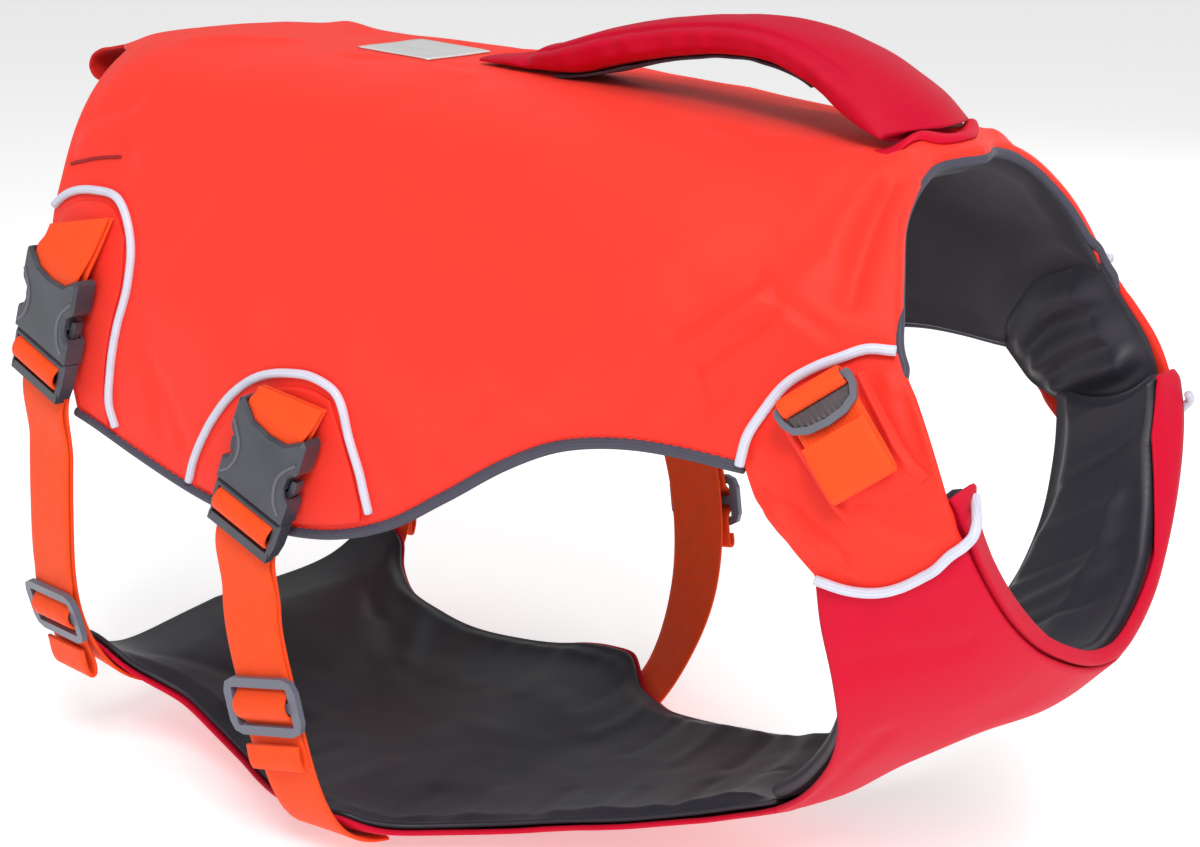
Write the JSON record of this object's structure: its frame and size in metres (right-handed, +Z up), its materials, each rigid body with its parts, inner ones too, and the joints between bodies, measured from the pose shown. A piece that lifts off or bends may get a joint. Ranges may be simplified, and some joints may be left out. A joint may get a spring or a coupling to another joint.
{
  "type": "dog life jacket",
  "caption": "Padded dog life jacket with a lifting handle on its back, open leg holes, a padded chest and buckled webbing straps to its belly panel, in the shape it has when worn.",
  "frame": {"origin": "inner face of the back lining on the spine line, where the jacket rests on the dog's back", "axes": "+X towards the dog's nose, +Y towards its left side, +Z up"},
  "size_m": [0.4343, 0.2239, 0.2891],
  "materials": {
    "shell_red": "plain woven polyester, slight sheen",
    "crimson": "plain woven polyester, slight sheen",
    "lining_grey": "smooth woven nylon lining",
    "binding_grey": "woven binding tape",
    "reflective": "retroreflective piping",
    "web_orange": "flat woven webbing",
    "buckle_grey": "moulded acetal, satin",
    "slider_grey": "moulded acetal, satin",
    "label_pale": "soft rubber, left bare"
  },
  "bodies": {
    "root": {"back_panel": "shell_red", "rear_arch_panel_R": "shell_red", "rear_arch_panel_L": "shell_red", "mid_arch_panel_R": "shell_red", "mid_arch_panel_L": "shell_red", "shoulder_panel_R": "shell_red", "shoulder_panel_L": "shell_red", "shoulder_channel_R": "shell_red", "shoulder_channel_L": "shell_red", "chest_panel": "crimson", "chest_facing": "crimson", "belly_panel": "crimson", "handle_grip": "crimson", "handle_front_tab": "crimson", "rump_loop": "crimson", "back_lining": "lining_grey", "belly_lining": "lining_grey", "chest_pad": "lining_grey", "shoulder_lining_R": "lining_grey", "shoulder_lining_L": "lining_grey", "neck_binding": "binding_grey", "handle_underside": "binding_grey", "hem_binding_R": "binding_grey", "hem_binding_L": "binding_grey", "rear_arch_piping_R": "reflective", "rear_arch_piping_L": "reflective", "mid_arch_piping_R": "reflective", "mid_arch_piping_L": "reflective", "shoulder_seam_piping_R": "reflective", "shoulder_seam_piping_L": "reflective", "chest_seam_piping_R": "reflective", "chest_seam_piping_L": "reflective", "shoulder_webbing_R": "web_orange", "shoulder_webbing_L": "web_orange", "shoulder_tab_R": "web_orange", "shoulder_tab_L": "web_orange", "rear_buckle_loop_R": "web_orange", "rear_buckle_loop_L": "web_orange", "mid_buckle_loop_R": "web_orange", "mid_buckle_loop_L": "web_orange", "rear_strap_R": "web_orange", "rear_strap_L": "web_orange", "mid_strap_R": "web_orange", "mid_strap_L": "web_orange", "ladder_lock_R": "buckle_grey", "ladder_lock_L": "buckle_grey", "rear_buckle_socket_R": "buckle_grey", "rear_buckle_socket_L": "buckle_grey", "mid_buckle_socket_R": "buckle_grey", "mid_buckle_socket_L": "buckle_grey", "rear_buckle_tongue_R": "buckle_grey", "rear_buckle_tongue_L": "buckle_grey", "mid_buckle_tongue_R": "buckle_grey", "mid_buckle_tongue_L": "buckle_grey", "rear_slider_R": "slider_grey", "rear_slider_L": "slider_grey", "mid_slider_R": "slider_grey", "mid_slider_L": "slider_grey", "back_label": "label_pale"}
  },
  "joints": []
}
